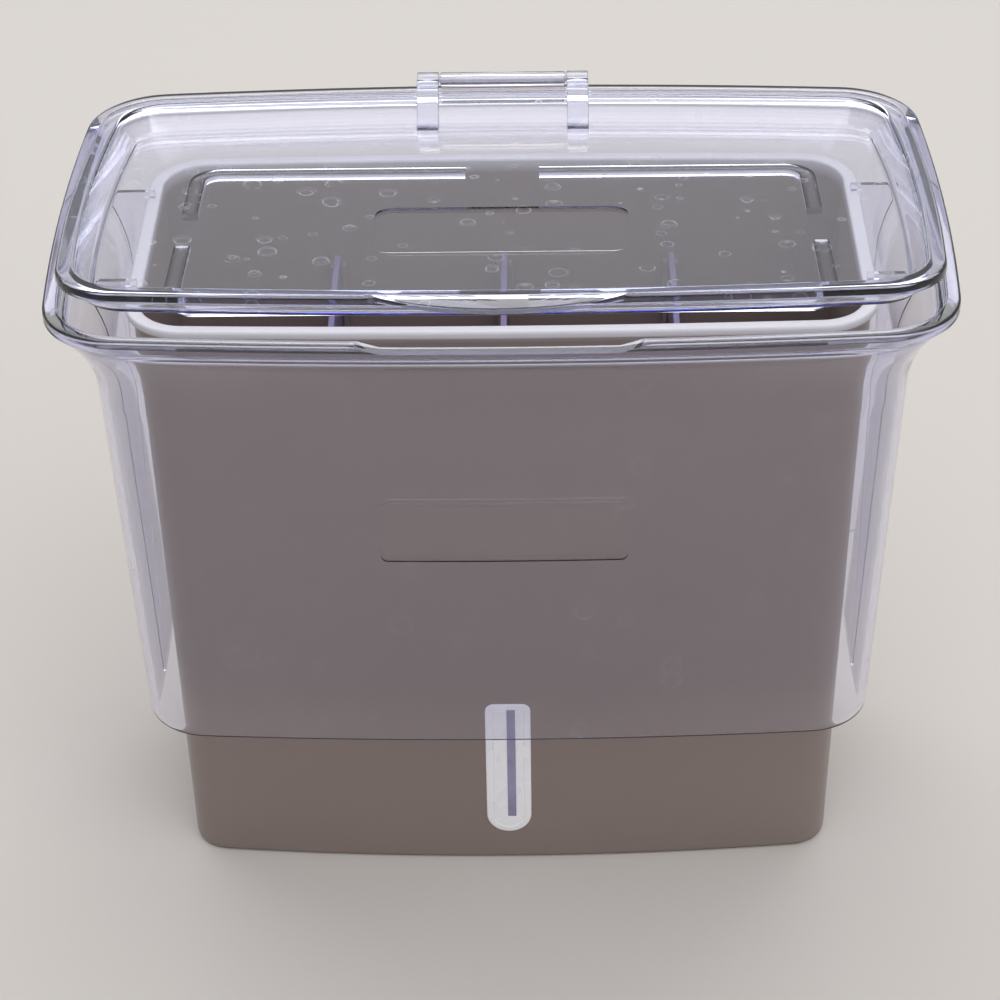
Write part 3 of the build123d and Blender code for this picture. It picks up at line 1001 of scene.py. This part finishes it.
# ---------------------------------------------------------------- studio
# A pale floor of matt paper, three large soft lamps behind, above and in front, and a camera that
# stands where the photograph's did. The floor's and the lamps' places and sizes are metres.
floor_reach = 6.0
paper_tooth = 2
floor_corners = [
    (x * floor_reach, y * floor_reach, 0) for x, y in ((-1, -1), (1, -1), (1, 1), (-1, 1))
]
floor_mesh = bpy.data.meshes.new("studio_floor")
floor_mesh.from_pydata(floor_corners, [], [(0, 1, 2, 3)])
floor = bpy.data.objects.new("studio_floor", floor_mesh)
bpy.context.scene.collection.objects.link(floor)
paper, tree, output = material("pale_studio_paper")
matt = add(tree, "ShaderNodeBsdfPrincipled", {
    "Base Color": linear("#C9C4BE"),
    "Roughness": 0.8,
    "Normal": bumped(tree, noise(tree, paper_tooth, 3.0), 0.05, 0.2),
})
tree.links.new(matt.outputs["BSDF"], output.inputs["Surface"])
floor_mesh.materials.append(paper)
floor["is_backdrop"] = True

# The sky lights the object dimly and looks white to the camera. In gloss and through clear plastic
# it is white overhead and half as bright low down, so that clear edges have something dark in them.
world = bpy.data.worlds.new("studio")
bpy.context.scene.world = world
world.use_nodes = True
world.node_tree.nodes.clear()
tree = world.node_tree
path = add(tree, "ShaderNodeLightPath")
seen = add(tree, "ShaderNodeMath", {
    0: path.outputs["Is Camera Ray"], 1: path.outputs["Is Glossy Ray"],
}, operation="MAXIMUM")
shown = add(tree, "ShaderNodeMath", {
    0: seen.outputs["Value"], 1: path.outputs["Is Transmission Ray"],
}, operation="MAXIMUM")
height = add(tree, "ShaderNodeSeparateXYZ", {
    "Vector": add(tree, "ShaderNodeTexCoord").outputs["Generated"],
})
dome = add(tree, "ShaderNodeMapRange", {
    "Value": height.outputs["Z"], "From Min": 0.2, "From Max": 0.5, "To Min": 0.5, "To Max": 1.0,
})
room = add(tree, "ShaderNodeMath", {
    0: path.outputs["Is Camera Ray"], 1: dome.outputs["Result"],
}, operation="MAXIMUM")
glow = add(tree, "ShaderNodeMix", {
    "Factor": shown.outputs["Value"], "A": 0.45, "B": room.outputs["Value"],
})
sky = add(tree, "ShaderNodeBackground", {
    "Color": linear("#F4F5F9"), "Strength": glow.outputs["Result"],
})
add(tree, "ShaderNodeOutputWorld", {"Surface": sky.outputs["Background"]})


def lamp(name, place, target, size, power):
    """A soft rectangular lamp aimed at a point."""
    data = bpy.data.lights.new(name, "AREA")
    data.shape = "RECTANGLE"
    data.size, data.size_y = size
    data.energy = power
    made = bpy.data.objects.new(name, data)
    bpy.context.scene.collection.objects.link(made)
    made.location = place
    made.rotation_mode = "QUATERNION"
    made.rotation_quaternion = (Vector(target) - Vector(place)).to_track_quat("-Z", "Y")


middle = (0, 0, 0.1)
lamp("window_behind", (-0.15, 1.15, 1.25), middle, (3.0, 0.7), 16)
lamp("overhead", (0.2, 0.0, 1.6), middle, (1.7, 1.7), 10)
lamp("front_fill", (0.2, -0.8, 1.1), (0, -0.05, 0.17), (1.4, 1.0), 6.6)

# The camera was fitted to the rims and bottom edges in the photograph.
camera_place = Vector((9.64, -749.43, 607.76)) * MILLIMETRE
right = Vector((0.99987931, 0.00559564, -0.01449304))
up = Vector((0.00886722, 0.56045346, 0.82813845))
forward = Vector((-0.01275664, 0.82816701, -0.56033621))
camera_data = bpy.data.cameras.new("photo_camera")
camera_data.sensor_width = 36.0
camera_data.lens = 108.0
camera_data.clip_start = 0.05
camera = bpy.data.objects.new("photo_camera", camera_data)
bpy.context.scene.collection.objects.link(camera)
turned = Matrix((right, up, -forward)).transposed().to_4x4()
camera.matrix_world = Matrix.Translation(camera_place) @ turned
bpy.context.scene.camera = camera
bpy.context.scene.view_settings.view_transform = "Standard"

low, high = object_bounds()
